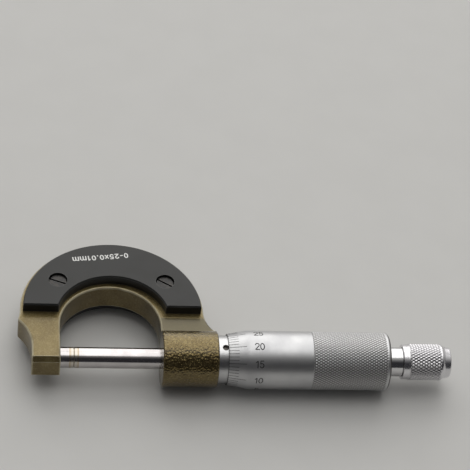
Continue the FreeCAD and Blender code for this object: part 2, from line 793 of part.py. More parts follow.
def make_ratchet():
    """Stem, toothed wheel, sprung pawl ring and the knob that holds them."""
    stem_hole = size.stem_radius + size.running_clearance
    turned("ratchet_stem", [
        (spindle_end - size.stem_screw_length + size.face_clearance, axis),
        (spindle_end - size.stem_screw_length + size.face_clearance, size.stem_screw_radius),
        (thimble_end, size.stem_screw_radius),
        (thimble_end, size.neck_radius),
        (knob_start - size.face_clearance, size.neck_radius),
        (knob_start - size.face_clearance, size.stem_radius),
        (stem_end, size.stem_radius),
        (stem_end, size.end_screw_radius + size.seat_clearance),
        (stem_end - size.end_screw_length, size.end_screw_radius + size.seat_clearance),
        (stem_end - size.end_screw_length, axis),
    ])

    wheel = turned("ratchet_wheel", [
        (knob_start - size.face_clearance, size.stem_radius + size.seat_clearance),
        (knob_start - size.face_clearance, size.wheel_radius),
        (wheel_face, size.wheel_radius),
        (wheel_face, size.stem_radius + size.seat_clearance),
    ])
    add_teeth(wheel, "wheel", [
        (wheel_face - TOOTH_ROOT, -1),
        (wheel_face, -1),
        (wheel_face + size.tooth_height, 1),
        (wheel_face - TOOTH_ROOT, 1),
    ], TOOTH_TANGENT)

    pawl_outer = size.knob_bore_radius - size.running_clearance
    pawl = turned("ratchet_pawl", [
        (pawl_face, stem_hole),
        (pawl_face, pawl_outer),
        (pawl_face + size.pawl_thickness, pawl_outer),
        (pawl_face + size.pawl_thickness, stem_hole),
    ])
    add_teeth(pawl, "pawl", [
        (wheel_face + size.tooth_clearance, -1),
        (pawl_face, 1),
        (pawl_face + TOOTH_ROOT, 1),
        (pawl_face + TOOTH_ROOT, -1),
    ], PAWL_TANGENT)
    half_key = size.key_width / 2 + size.running_clearance
    key_top = size.knob_bore_radius - size.key_height - size.running_clearance
    past_pawl = size.knob_bore_radius + size.overcut
    keyway = new_sketch(pawl, "keyway_outline", "YZ_Plane", pawl_face - size.overcut)
    draw_outline(keyway, [
        (key_top, -half_key),
        (past_pawl, -half_key),
        (past_pawl, half_key),
        (key_top, half_key),
    ])
    keyway_cut = pocket(pawl, "keyway", keyway, size.pawl_thickness + size.overcut * 2,
                        backwards=True)
    repeat_about_axis(pawl, "keyways", keyway_cut, 2)

    collar_end = knob_start + size.knob_collar_length
    grip_end = collar_end + size.knob_grip_length
    recess_radius = size.end_screw_head_radius + size.end_screw_gap
    knob = turned("ratchet_knob", [
        (knob_start, size.knob_bore_radius),
        (knob_start, size.knob_collar_radius),
        (collar_end, size.knob_collar_radius),
        (collar_end, size.knob_radius),
        (grip_end, size.knob_radius),
        (knob_end - size.knob_round, size.knob_end_radius),
        (knob_end, size.knob_end_radius - size.knob_round, size.knob_round, -1),
        (knob_end, recess_radius),
        (knob_wall_end, recess_radius),
        (knob_wall_end, stem_hole),
        (knob_wall_end - size.knob_end_wall, stem_hole),
        (knob_wall_end - size.knob_end_wall, size.knob_bore_radius),
    ])
    half_width = size.key_width / 2
    key = new_sketch(knob, "key_outline", "YZ_Plane", pawl_face)
    draw_outline(key, [
        (size.knob_bore_radius - size.key_height, -half_width),
        (size.knob_bore_radius + size.key_height / 2, -half_width),
        (size.knob_bore_radius + size.key_height / 2, half_width),
        (size.knob_bore_radius - size.key_height, half_width),
    ])
    key_ridge = pad(knob, "key_ridge", key, knob_wall_end - size.knob_end_wall - pawl_face)
    repeat_about_axis(knob, "key_ridges", key_ridge, 2)

    screw = turned("end_screw", [
        (stem_end - size.end_screw_length + size.face_clearance, axis),
        (stem_end - size.end_screw_length + size.face_clearance, size.end_screw_radius),
        (stem_end, size.end_screw_radius),
        (stem_end, size.end_screw_head_radius),
        (stem_end + size.end_screw_head_height, size.end_screw_head_radius),
        (stem_end + size.end_screw_head_height, axis),
    ])
    slot = new_sketch(screw, "end_slot_outline", "YZ_Plane", stem_end + size.end_screw_head_height)
    half_slot = size.screw_slot_width / 2
    past_head = size.end_screw_head_radius + size.overcut
    draw_outline(slot, [
        (-past_head, -half_slot),
        (past_head, -half_slot),
        (past_head, half_slot),
        (-past_head, half_slot),
    ])
    pocket(screw, "end_slot", slot, size.screw_slot_depth)

    # The spring is a closed coil between the pawl ring and the knob's end wall
    spring_start = pawl_face + size.pawl_thickness + size.spring_wire_radius + size.seat_clearance
    spring_stop = knob_wall_end - size.knob_end_wall - size.spring_wire_radius - size.seat_clearance
    spring = new_body("ratchet_spring")
    wire = new_sketch(spring, "wire_circle")
    draw_circle(wire, spring_start, size.spring_radius, size.spring_wire_radius)
    coil = spring.newObject("PartDesign::AdditiveHelix", "coil")
    coil.Profile = wire
    coil.ReferenceAxis = (wire, ["H_Axis"])
    coil.Mode = 0
    coil.setExpression("Pitch", ((spring_stop - spring_start) / SPRING_TURNS).text)
    coil.setExpression("Height", (spring_stop - spring_start).text)
    doc.recompute()


def beside_lever(along, aside):
    """A point beside the lever's middle line, in the arm's own X and Y."""
    turn = size.lever_rest_angle
    x = clamp_mid + along * cosine(turn) - aside * sine(turn)
    y = size.clamp_depth + along * sine(turn) + aside * cosine(turn)
    return x, y


def make_clamp():
    """Lever on the front face, its stud with an off-centre cam, the screw, and the shoe."""
    lever_back = -(half_frame + size.lever_lift)
    lever_front = lever_back - size.lever_thickness
    hub, tip = size.lever_hub_radius, size.lever_tip_radius
    lean = (hub - tip) / size.lever_length
    rise = root(as_size(1) - lean * lean)
    lever = new_body("lock_lever")
    outline = new_sketch(lever, "lever_outline", "XY_Plane", lever_back)
    draw_outline(outline, [
        (*beside_lever(-hub, axis), hub, -1),
        (*beside_lever(hub * lean, hub * rise), hub, -1),
        beside_lever(size.lever_length + tip * lean, tip * rise),
        (*beside_lever(size.lever_length + tip * lean, -(tip * rise)), tip, -1),
        beside_lever(hub * lean, -(hub * rise)),
    ])
    blade = pad(lever, "lever_blade", outline, size.lever_thickness, backwards=True)
    ease(lever, "lever_bevel", "PartDesign::Chamfer", blade,
         face_names(blade.Shape, flat_at_height(lever_front)), size.lever_bevel)
    square = new_sketch(lever, "square_outline", "XY_Plane", lever_back)
    half_square = size.stud_square / 2 + size.seat_clearance
    draw_outline(square, [
        (clamp_mid - half_square, size.clamp_depth - half_square),
        (clamp_mid + half_square, size.clamp_depth - half_square),
        (clamp_mid + half_square, size.clamp_depth + half_square),
        (clamp_mid - half_square, size.clamp_depth + half_square),
    ])
    pocket(lever, "square_hole", square, size.lever_thickness)

    # The stud turns in the arm's blind bore, and its off-centre groove is the cam
    stud = new_body("lock_stud")
    stud_top = -half_frame + size.stud_shaft - size.face_clearance
    shaft = new_sketch(stud, "shaft_circle", "XY_Plane", lever_back)
    draw_circle(shaft, clamp_mid, size.clamp_depth, size.stud_radius)
    pad(stud, "shaft", shaft, stud_top - lever_back)
    end = new_sketch(stud, "square_end_outline", "XY_Plane", lever_back)
    half_end = size.stud_square / 2
    draw_outline(end, [
        (clamp_mid - half_end, size.clamp_depth - half_end),
        (clamp_mid + half_end, size.clamp_depth - half_end),
        (clamp_mid + half_end, size.clamp_depth + half_end),
        (clamp_mid - half_end, size.clamp_depth + half_end),
    ])
    pad(stud, "square_end", end, size.lever_thickness, backwards=True)
    half_groove = size.shoe_radius + size.face_clearance
    groove = new_sketch(stud, "cam_groove_circles", "XY_Plane", half_groove)
    draw_circle(groove, clamp_mid, size.clamp_depth, size.stud_radius + size.overcut)
    draw_circle(groove, cam_mid_x, cam_mid_y, size.cam_radius)
    pocket(stud, "cam_groove", groove, half_groove * 2)
    thread_hole = new_sketch(stud, "thread_hole_circle", "XY_Plane", lever_front)
    draw_circle(thread_hole, clamp_mid, size.clamp_depth,
                size.lever_screw_radius + size.seat_clearance)
    pocket(stud, "thread_hole", thread_hole, size.lever_screw_grip, backwards=True)

    screw = slotted_screw("lever_screw", clamp_mid, size.clamp_depth, lever_front, -1,
                          size.lever_screw_head_radius, size.lever_screw_head_height,
                          size.lever_screw_radius, size.lever_screw_grip - size.face_clearance,
                          size.lever_screw_slot_angle)
    screw.Label = "lever_screw"

    shoe_end = size.clamp_depth - size.cam_radius - size.cam_throw - size.seat_clearance
    shoe = new_body("lock_shoe")
    shoe_circle = new_sketch(shoe, "shoe_circle", "XZ_Plane", -shoe_end)
    draw_circle(shoe_circle, clamp_mid, axis, size.shoe_radius)
    pad(shoe, "shoe_plug", shoe_circle, shoe_end - size.spindle_radius + size.shoe_hollow)
    hollow = new_sketch(shoe, "shoe_hollow_circle", "YZ_Plane", clamp_mid)
    draw_circle(hollow, axis, axis, size.spindle_radius + size.running_clearance)
    pocket(shoe, "shoe_hollow_cut", hollow, size.shoe_radius * 2 + size.overcut, midplane=True)


PIECES = [
    "frame", "anvil", "anvil_tip", "back_plate", "front_plate", "back_plate_screws",
    "front_plate_screws", "inner_sleeve", "adjusting_nut", "scale_sleeve", "spindle", "spindle_tip",
    "thimble", "ratchet_stem", "ratchet_wheel", "ratchet_pawl", "ratchet_spring", "ratchet_knob",
    "end_screw", "lock_lever", "lock_stud", "lever_screw", "lock_shoe",
]

make_frame()
make_pins()
make_plate("back_plate", 1)
make_plate("front_plate", -1)
make_plate_screws("back_plate_screws", 1, (size.back_left_slot_angle, size.back_right_slot_angle))
make_plate_screws("front_plate_screws", -1, (size.front_left_slot_angle, size.front_right_slot_angle))
make_sleeves()
make_thimble()
make_ratchet()
make_clamp()
doc.recompute()

for item in doc.Objects:
    broken = [state for state in item.State if state in ("Invalid", "Error")]
    assert not broken, f"{item.Name} failed: {item.State}"

os.makedirs("parts", exist_ok=True)
for label in PIECES:
    shape = doc.getObject(label).Shape
    assert not shape.isNull(), f"{label} has no shape"
    assert shape.isValid(), f"{label} is not valid"
    shape.exportStep(f"parts/{label}.step")
    box = shape.optimalBoundingBox(False)
    print(f"{label}: {len(shape.Solids)} solid(s), {shape.Volume:.1f} mm3, "
          f"X {box.XMin:.2f} to {box.XMax:.2f}, Y {box.YMin:.2f} to {box.YMax:.2f}, "
          f"Z {box.ZMin:.2f} to {box.ZMax:.2f}")
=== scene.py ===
import bpy
import numpy as np
from mathutils import Matrix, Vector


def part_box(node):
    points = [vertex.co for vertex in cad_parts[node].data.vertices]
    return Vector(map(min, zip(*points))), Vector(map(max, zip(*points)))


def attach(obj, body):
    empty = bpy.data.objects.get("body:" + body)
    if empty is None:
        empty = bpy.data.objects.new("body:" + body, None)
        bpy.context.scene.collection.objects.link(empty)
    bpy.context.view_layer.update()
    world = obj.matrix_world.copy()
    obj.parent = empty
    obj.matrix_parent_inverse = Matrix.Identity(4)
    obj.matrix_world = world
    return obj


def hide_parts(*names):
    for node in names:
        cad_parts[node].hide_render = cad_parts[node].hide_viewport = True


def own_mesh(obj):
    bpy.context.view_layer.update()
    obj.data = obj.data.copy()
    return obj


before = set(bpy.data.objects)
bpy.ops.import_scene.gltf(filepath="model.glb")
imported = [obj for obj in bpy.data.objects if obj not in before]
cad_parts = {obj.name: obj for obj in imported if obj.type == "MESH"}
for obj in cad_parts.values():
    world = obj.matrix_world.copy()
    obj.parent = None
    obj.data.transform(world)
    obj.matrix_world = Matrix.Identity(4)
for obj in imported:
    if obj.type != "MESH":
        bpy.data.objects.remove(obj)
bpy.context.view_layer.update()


# The camera stands in front of the tool and looks down on its back plate with a long lens.
# Its place, its three angles and its lens were fitted to the tool's outlines in the photo.
def turn_and_place(directions, place):
    """The matrix that turns the three axes to three directions and moves the origin to a place."""
    rows = [[*map(float, row), float(spot)] for row, spot in zip(np.array(directions).T, place)]
    return Matrix(rows + [[0.0, 0.0, 0.0, 1.0]])


swing, tip, roll = np.radians([10.542, 44.416, 8.666])
sideways = np.array([np.cos(swing), -np.sin(swing), 0.0])
upward = np.array([np.sin(swing) * np.sin(tip), np.cos(swing) * np.sin(tip), np.cos(tip)])
right = np.cos(roll) * sideways + np.sin(roll) * upward
top = np.cos(roll) * upward - np.sin(roll) * sideways
toward = np.cross(right, top)
camera_place = (-0.080886, -0.418669, 0.463072)
lens = bpy.data.cameras.new("long_lens")
lens.sensor_width = 36.0
lens.lens = 150.83
lens.clip_start = 0.01
camera = bpy.data.objects.new("long_lens", lens)
bpy.context.collection.objects.link(camera)
camera.matrix_world = turn_and_place([right, top, toward], camera_place)
bpy.context.scene.camera = camera


# The frame is one iron casting, painted with an olive-bronze hammered enamel: the paint draws
# itself into small dimples as it dries, fine on the flats and coarse on the round boss.
# The strip beside the boss was ground flat before painting, so it is smooth and greyer.
def start_finish(name, colour, rough, metal=0.0):
    """A new material with one Principled shader, whose plain values are set on its own sockets."""
    finish = bpy.data.materials.new(name)
    finish.use_nodes = True
    shader = finish.node_tree.nodes["Principled BSDF"]
    shader.inputs["Base Color"].default_value = (*colour, 1.0)
    shader.inputs["Roughness"].default_value = rough
    shader.inputs["Metallic"].default_value = metal
    return finish, finish.node_tree, shader


def add_node(tree, kind, sources=(), **settings):
    """A node of a kind, with its settings, and its inputs joined to sockets or set to values."""
    node = tree.nodes.new("ShaderNode" + kind)
    for key, value in settings.items():
        setattr(node, key, value)
    for key, source in dict(sources).items():
        if isinstance(source, bpy.types.NodeSocket):
            tree.links.new(source, node.inputs[key])
        else:
            node.inputs[key].default_value = source
    return node


def calc(tree, operation, *values):
    """The result of one Math node on sockets or numbers."""
    return add_node(tree, "Math", dict(enumerate(values)), operation=operation).outputs[0]


def times(tree, first, *others):
    """The product of masks or numbers, one Math node for each step."""
    for other in others:
        first = calc(tree, "MULTIPLY", first, other)
    return first


def ease(tree, value, low, high, at_low=0.0, at_high=1.0):
    """A smooth step: at_low below low, at_high above high, and an S-curve between them."""
    node = add_node(
        tree, "MapRange",
        {"Value": value, "From Min": low, "From Max": high, "To Min": at_low, "To Max": at_high},
        interpolation_type="SMOOTHSTEP",
    )
    return node.outputs["Result"]


def find_place(tree):
    """The place of a point on its piece, in metres."""
    return add_node(tree, "TexCoord").outputs["Object"]


def noise(tree, place, scale, detail, rough=0.5):
    """Cloudy noise from 0 to 1, about scale waves to the metre, with finer waves added by detail."""
    sources = {"Vector": place, "Scale": scale, "Detail": detail, "Roughness": rough}
    return add_node(tree, "TexNoise", sources).outputs["Fac"]


def blend_colours(tree, mask, below, above):
    """The colour below where the mask is 0, the colour above where it is 1."""
    node = add_node(tree, "Mix", {0: mask}, data_type="RGBA")
    for slot, colour in ((6, below), (7, above)):
        if isinstance(colour, bpy.types.NodeSocket):
            tree.links.new(colour, node.inputs[slot])
        else:
            node.inputs[slot].default_value = (*colour, 1.0)
    return node.outputs[2]


def add_bump(tree, shader, height, distance, strength):
    """Joins a height to a shader's normal, as a bump that stands a distance high at height 1."""
    bump = add_node(tree, "Bump", {"Height": height, "Distance": distance, "Strength": strength})
    tree.links.new(bump.outputs["Normal"], shader.inputs["Normal"])


def dress(node, finish):
    """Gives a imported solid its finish."""
    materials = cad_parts[node].data.materials
    materials.clear()
    materials.append(finish)


def start_group(name, inputs, outputs):
    """A new node group with named inputs, each with its usual value, and named outputs."""
    tree = bpy.data.node_groups.new(name, "ShaderNodeTree")
    for socket, value in inputs.items():
        tree.interface.new_socket(socket, in_out="INPUT", socket_type="NodeSocketFloat").default_value = value
    for socket in outputs:
        tree.interface.new_socket(socket, in_out="OUTPUT", socket_type="NodeSocketFloat")
    return tree, tree.nodes.new("NodeGroupInput").outputs, tree.nodes.new("NodeGroupOutput").inputs


def make_edge_wear():
    """A node group: how far the normal turns within a small reach of a point, which is 1 on a sharp edge
    and 0 on a flat, broken up by noise so that the wear isn't even."""
    tree, given, result = start_group("edge_wear", {"Reach": 0.0003, "Uneven": 0.4}, ["Mask"])
    rounded = add_node(tree, "Bevel", {"Radius": given["Reach"]}, samples=8).outputs["Normal"]
    plain = add_node(tree, "NewGeometry").outputs["Normal"]
    agree = add_node(tree, "VectorMath", {0: rounded, 1: plain}, operation="DOT_PRODUCT").outputs["Value"]
    turned = ease(tree, calc(tree, "SUBTRACT", 1.0, agree), 0.008, 0.12)
    patchy = noise(tree, find_place(tree), 900.0, 3.0)
    kept = calc(tree, "SUBTRACT", 1.0, times(tree, patchy, given["Uneven"]))
    tree.links.new(times(tree, turned, kept), result["Mask"])
    return tree


def wear_mask(tree, reach, uneven=0.4):
    """Where an edge is worn, from the edge wear group with a finish's own reach and unevenness."""
    sources = {"Reach": reach, "Uneven": uneven}
    return add_node(tree, "Group", sources, node_tree=edge_wear).outputs["Mask"]


def by_zone(on_boss, elsewhere):
    """One value on the round boss and another on the rest of the frame."""
    return ease(tree, off_boss, 0.0, 1.0, on_boss, elsewhere)


edge_wear = make_edge_wear()
enamel, tree, shader = start_finish("hammered_enamel", (0.2, 0.15, 0.07), 0.4, 0.85)
place = find_place(tree)
sides = add_node(tree, "SeparateXYZ", {0: place}).outputs
guide_low, guide_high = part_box("inner_sleeve")
axis_y = (guide_low.y + guide_high.y) / 2
axis_z = (guide_low.z + guide_high.z) / 2
boss_start = -0.0235
strip_low, strip_high = (0.0070, 0.0076), (0.0128, 0.0136)
on_boss_length = ease(tree, sides["X"], boss_start - 0.0002, boss_start + 0.0004)
above_axis = calc(tree, "SUBTRACT", sides["Y"], axis_y)
near_boss = times(tree, on_boss_length, ease(tree, above_axis, *strip_high, 1.0, 0.0))
on_strip = times(tree, near_boss, ease(tree, above_axis, *strip_low))
off_boss = calc(tree, "SUBTRACT", 1.0, calc(tree, "SUBTRACT", near_boss, on_strip))
dimples = add_node(
    tree, "TexVoronoi", {"Vector": place, "Scale": 1450.0, "Smoothness": 0.6, "Randomness": 1.0},
    feature="SMOOTH_F1",
).outputs["Distance"]
grains = noise(tree, place, 2600.0, 3.0, 0.6)
clouds = noise(tree, place, 160.0, 4.0, 0.55)
smooth = ease(tree, on_strip, 0.2, 0.8, 1.0, 0.12)
coarse = times(tree, dimples, by_zone(0.24, 0.035))
skin = calc(tree, "MULTIPLY_ADD", grains, by_zone(0.07, 0.10), coarse)
add_bump(tree, shader, times(tree, skin, smooth), 0.0008, 1.0)

deep_bronze, pale_bronze = (0.126, 0.093, 0.034), (0.19, 0.146, 0.06)
metal_grain, dimple_floor, dimple_rim = (0.42, 0.35, 0.2), (0.29, 0.228, 0.092), (0.10, 0.068, 0.022)
strip_grey, bare_edge = (0.092, 0.081, 0.05), (0.66, 0.60, 0.42)
paint = blend_colours(tree, ease(tree, clouds, 0.32, 0.68), deep_bronze, pale_bronze)
paint = blend_colours(tree, ease(tree, grains, 0.42, 0.7, 0.0, 0.3), paint, metal_grain)
cell = ease(tree, calc(tree, "MULTIPLY_ADD", grains, 0.5, dimples), 0.35, 0.8)
on_floor = times(tree, calc(tree, "SUBTRACT", 1.0, cell), by_zone(0.35, 0.0))
paint = blend_colours(tree, on_floor, paint, dimple_floor)
paint = blend_colours(tree, times(tree, cell, by_zone(0.5, 0.12), smooth), paint, dimple_rim)
paint = blend_colours(tree, times(tree, on_strip, 0.85), paint, strip_grey)

# The bevel round the frame's faces is rubbed, but not on the boss, below the axis or past the heel.
off_middle = calc(tree, "ABSOLUTE", calc(tree, "SUBTRACT", sides["Z"], axis_z))
on_bevel = times(
    tree,
    ease(tree, off_middle, 0.0036, 0.0038),
    ease(tree, off_middle, 0.0042, 0.00429, 1.0, 0.0),
    ease(tree, above_axis, -0.0034, -0.0030),
    ease(tree, sides["X"], -0.0100, -0.0085, 1.0, 0.0),
    off_boss,
    ease(tree, clouds, 0.3, 0.6, 0.35, 0.75),
)
worn = calc(tree, "MAXIMUM", wear_mask(tree, 0.0009, 0.35), on_bevel)
tree.links.new(blend_colours(tree, worn, paint, bare_edge), shader.inputs["Base Color"])
tree.links.new(ease(tree, worn, 0.0, 1.0, 0.85, 0.25), shader.inputs["Metallic"])
gloss = calc(tree, "MULTIPLY_ADD", off_boss, 0.22, ease(tree, clouds, 0.3, 0.7, 0.15, 0.22))
tree.links.new(gloss, shader.inputs["Roughness"])
shader.inputs["Coat Weight"].default_value = 0.4
shader.inputs["Coat Roughness"].default_value = 0.12
dress("frame", enamel)


# The grip plates are moulded in black plastic with a fine spark-eroded grain, and keep the hand's
# warmth off the iron. Their moulded edges are painted a lighter grey: a little polish from use, and a painted
# highlight.
plate_black, tree, shader = start_finish("grip_plate_black", (0.018, 0.018, 0.017), 0.4)
place = find_place(tree)
rubbed = noise(tree, place, 120.0, 5.0)
add_bump(tree, shader, noise(tree, place, 5200.0, 2.0), 0.00002, 0.5)
tone = blend_colours(tree, ease(tree, rubbed, 0.35, 0.7), (0.012, 0.012, 0.011), (0.018, 0.018, 0.016))
# The edges are painted lighter grey: partly wear, partly a painted highlight along them.
tone = blend_colours(tree, times(tree, wear_mask(tree, 0.00025), 0.7), tone, (0.2, 0.2, 0.195))
tree.links.new(tone, shader.inputs["Base Color"])
tree.links.new(ease(tree, rubbed, 0.35, 0.7, 0.38, 0.48), shader.inputs["Roughness"])
shader.inputs["Specular IOR Level"].default_value = 0.4
dress("back_plate", plate_black)
dress("front_plate", plate_black)


# The plates' slotted screws are steel, blackened in hot oil, which leaves a thin brownish bloom
# and wears bright on the rims and along the slots.
screw_black, tree, shader = start_finish("oil_blackened_screw", (0.03, 0.03, 0.03), 0.34, 0.6)
bloom = noise(tree, find_place(tree), 700.0, 4.0)
tone = blend_colours(tree, ease(tree, bloom, 0.35, 0.7), (0.028, 0.028, 0.029), (0.06, 0.055, 0.05))
tone = blend_colours(tree, times(tree, wear_mask(tree, 0.00015), 0.55), tone, (0.35, 0.34, 0.33))
tree.links.new(tone, shader.inputs["Base Color"])
tree.links.new(ease(tree, bloom, 0.3, 0.7, 0.28, 0.42), shader.inputs["Roughness"])
dress("back_plate_screws", screw_black)
dress("front_plate_screws", screw_black)


# The range is printed in off-white on the back plate and reads from the other side of the tool.
# Each letter is a few strokes of one width, a hundredth of a millimetre thick.
def arc(x, y, wide, high, start, stop):
    """Points on an ellipse's arc: (x + wide cos t, y + high sin t), t from start to stop in degrees."""
    turn = np.radians(np.linspace(start, stop, max(4, int(abs(stop - start) / 18) + 1)))
    return np.stack([x + wide * np.cos(turn), y + high * np.sin(turn)], 1)


def line(*points):
    """Points of a broken line, each run divided into six."""
    corners = np.array(points, float)
    share = np.arange(6)[None, :, None] / 6
    runs = corners[:-1, None] + share * (corners[1:, None] - corners[:-1, None])
    return np.vstack([runs.reshape(-1, 2), corners[-1:]])


def joined(*paths):
    """Paths set end to end as one stroke, in a list of its own."""
    return [np.vstack(paths)]


LETTERS = {
    "0": (0.56, [arc(0.28, 0.5, 0.28, 0.5, 0, 360)]),
    "1": (0.40, [line((0.05, 0.78), (0.28, 1.0), (0.28, 0.0))]),
    "2": (0.56, joined(arc(0.28, 0.72, 0.27, 0.28, 165, -35), line((0.44, 0.5), (0.0, 0.0), (0.56, 0.0)))),
    "3": (0.54, joined(arc(0.26, 0.76, 0.24, 0.24, 150, -90), arc(0.26, 0.26, 0.28, 0.26, 90, -150))),
    "4": (0.60, [line((0.44, 0.0), (0.44, 1.0), (0.0, 0.28), (0.60, 0.28))]),
    "5": (0.56, joined(line((0.5, 1.0), (0.09, 1.0), (0.05, 0.56)), arc(0.26, 0.32, 0.29, 0.32, 130, -150))),
    "x": (0.46, [line((0.0, 0.1), (0.46, 0.8)), line((0.0, 0.8), (0.46, 0.1))]),
    ".": (0.14, [line((0.07, 0.0), (0.07, 0.07))]),
    "-": (0.34, [line((0.02, 0.42), (0.32, 0.42))]),
    "m": (0.95, [
        line((0.0, 0.0), (0.0, 0.82)),
        *joined(arc(0.2375, 0.55, 0.2375, 0.25, 180, 0), line((0.475, 0.5), (0.475, 0.0))),
        *joined(arc(0.7125, 0.55, 0.2375, 0.25, 180, 0), line((0.95, 0.5), (0.95, 0.0))),
    ]),
}


def write_strokes(words, height, gap):
    """The strokes of a line of letters, as point arrays scaled to a height, with the line's middle at 0."""
    strokes, pen = [], 0.0
    for letter in words:
        wide, parts = LETTERS[letter]
        strokes += [(part + (pen, -0.5)) * height for part in parts]
        pen += wide + gap
    return [part - (np.array([pen - gap, 0.0]) * height / 2) for part in strokes]


def stroke_slab(points, width, low, high):
    """A closed slab along a path: at each point the section's four corners stand half a width to
    either side along the path's normal, at the low and high levels. The top rises by a few
    thousandths of a millimetre along the path, so that no two tops lie in one plane where they cross."""
    ahead = np.gradient(points, axis=0)
    ahead /= np.maximum(np.linalg.norm(ahead, axis=1, keepdims=True), 1e-9)
    across = np.stack([-ahead[:, 1], ahead[:, 0]], 1) * width / 2
    points = points.copy()
    points[0] -= ahead[0] * width / 2
    points[-1] += ahead[-1] * width / 2
    one_side, other_side = points + across, points - across
    flat = np.stack([other_side, one_side, one_side, other_side], 1)
    climb = np.linspace(0.0, 0.000004, len(points))[:, None, None]
    on_top = np.array([1.0, 1.0, 0.0, 0.0])[None, :, None]
    level = np.array([high, high, low, low])[None, :, None] + climb * on_top
    corners = np.concatenate([flat, level], 2).reshape(-1, 3)
    station = np.arange(len(points) - 1)[:, None] * 4
    ring = station + np.arange(4)[None]
    following = station + (np.arange(4)[None] + 1) % 4
    walls = np.stack([ring, ring + 4, following + 4, following], 2).reshape(-1, 4)
    last = (len(points) - 1) * 4
    ends = np.array([[0, 1, 2, 3], [last + 3, last + 2, last + 1, last]])
    return corners, np.vstack([walls, ends])


def put_piece(name, parts, finish, body, smooth=True):
    """Joins arrays of points and faces into one mesh piece at the origin, and lets it ride on a body."""
    starts = np.cumsum([0] + [len(points) for points, faces in parts])
    points = np.vstack([points for points, faces in parts])
    faces = np.vstack([faces + start for (_, faces), start in zip(parts, starts)])
    mesh = bpy.data.meshes.new(name)
    mesh.from_pydata(points.tolist(), [], faces.tolist())
    mesh.polygons.foreach_set("use_smooth", np.full(len(faces), smooth))
    mesh.validate()
    mesh.update()
    piece = bpy.data.objects.new(name, mesh)
    bpy.context.collection.objects.link(piece)
    mesh.materials.append(finish)
    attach(piece, body)
    return piece


print_white, tree, shader = start_finish("printed_white", (0.86, 0.86, 0.83), 0.5)
thin = noise(tree, find_place(tree), 4200.0, 2.0)
ink = blend_colours(tree, ease(tree, thin, 0.4, 0.72), (0.88, 0.88, 0.86), (0.62, 0.62, 0.6))
tree.links.new(ink, shader.inputs["Base Color"])
plate_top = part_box("back_plate")[1].z
print_middle, print_slope = np.array([-0.04143, 0.01790]), np.radians(-172.4)
print_height, print_gap, print_width = 0.0018, 0.366, 0.00038
ahead = np.array([np.cos(print_slope), np.sin(print_slope)])
across = np.array([-ahead[1], ahead[0]])
parts = []
for number, stroke in enumerate(write_strokes("0-25x0.01mm", print_height, print_gap)):
    path, faces = stroke_slab(stroke, print_width, -0.00002, 0.000010 + 0.000005 * (number % 3))
    flat = print_middle + path[:, :1] * ahead + path[:, 1:2] * across
    parts.append((np.column_stack([flat, plate_top + path[:, 2]]), faces))
put_piece("range_lettering", parts, print_white, "frame", smooth=False)


# The anvil and the spindle are hardened steel rods, ground between centres and lapped at the ends.
# A grinding wheel leaves very fine rings round them, seen only where the light grazes.
def make_turned_rings():
    """A node group: noise stretched round the X axis, so that it is rings a fraction of a millimetre
    apart, with their height and a slow drift of tone along the rod."""
    inputs = {"Rings": 9000.0, "Drift": 120.0}
    tree, given, result = start_group("turned_rings", inputs, ["Height", "Tone"])
    place = find_place(tree)
    drawn = add_node(tree, "VectorMath", {0: place, 1: (1.0, 0.012, 0.012)}, operation="MULTIPLY").outputs[0]
    tree.links.new(noise(tree, drawn, given["Rings"], 2.0), result["Height"])
    tree.links.new(noise(tree, place, given["Drift"], 4.0), result["Tone"])
    return tree


def add_rings(tree, shader, rings, depth, rough_low, rough_high):
    """Joins the rings to a shader: their height as a bump, and their drift to its roughness. What it
    gives back is the drift of tone."""
    made = add_node(tree, "Group", {"Rings": rings}, node_tree=turned_rings).outputs
    add_bump(tree, shader, made["Height"], depth, 0.6)
    mixed = calc(tree, "MULTIPLY_ADD", made["Height"], 0.35, times(tree, made["Tone"], 0.65))
    tree.links.new(ease(tree, mixed, 0.3, 0.7, rough_low, rough_high), shader.inputs["Roughness"])
    return made["Tone"]


def drift_colour(tree, shader, drift, light, dark, low=0.3):
    """Joins to a shader a colour that goes from light to dark as the drift goes from low to 0.7."""
    tint = blend_colours(tree, ease(tree, drift, low, 0.7), light, dark)
    tree.links.new(tint, shader.inputs["Base Color"])
    return tint


turned_rings = make_turned_rings()
ground_steel, tree, shader = start_finish("ground_steel", (0.58, 0.555, 0.55), 0.14, 1.0)
drift = add_rings(tree, shader, 9000.0, 0.0000015, 0.10, 0.18)
drift_colour(tree, shader, drift, (0.60, 0.575, 0.57), (0.5, 0.475, 0.47), 0.35)
dress("spindle", ground_steel)
dress("anvil", ground_steel)


# The measuring faces are small discs of hard metal, brazed to the rods. The braze and its heat
# leave a thin straw-brown ring behind each disc.
lapped_tip, tree, shader = start_finish("brazed_tip", (0.66, 0.6, 0.52), 0.2, 1.0)
add_rings(tree, shader, 7000.0, 0.000002, 0.16, 0.26)
contact_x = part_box("anvil_tip")[1].x
along = add_node(tree, "SeparateXYZ", {0: find_place(tree)}).outputs["X"]
from_contact = calc(tree, "ABSOLUTE", calc(tree, "SUBTRACT", along, contact_x))
tint = blend_colours(tree, ease(tree, from_contact, 0.0006, 0.0014), (0.56, 0.52, 0.46), (0.46, 0.385, 0.29))
tree.links.new(tint, shader.inputs["Base Color"])
dress("anvil_tip", lapped_tip)
dress("spindle_tip", lapped_tip)


# The scale sleeve is turned brass, plated with satin chrome: even, soft and almost white.
# It sits tight in the boss and is turned there by its small hole to set zero.
light_satin, dark_satin = (0.575, 0.575, 0.58), (0.49, 0.49, 0.5)
satin_chrome, tree, shader = start_finish("satin_chrome", (0.6, 0.6, 0.605), 0.3, 1.0)
drift = add_rings(tree, shader, 6500.0, 0.000003, 0.28, 0.36)
drift_colour(tree, shader, drift, light_satin, dark_satin)
dress("scale_sleeve", satin_chrome)
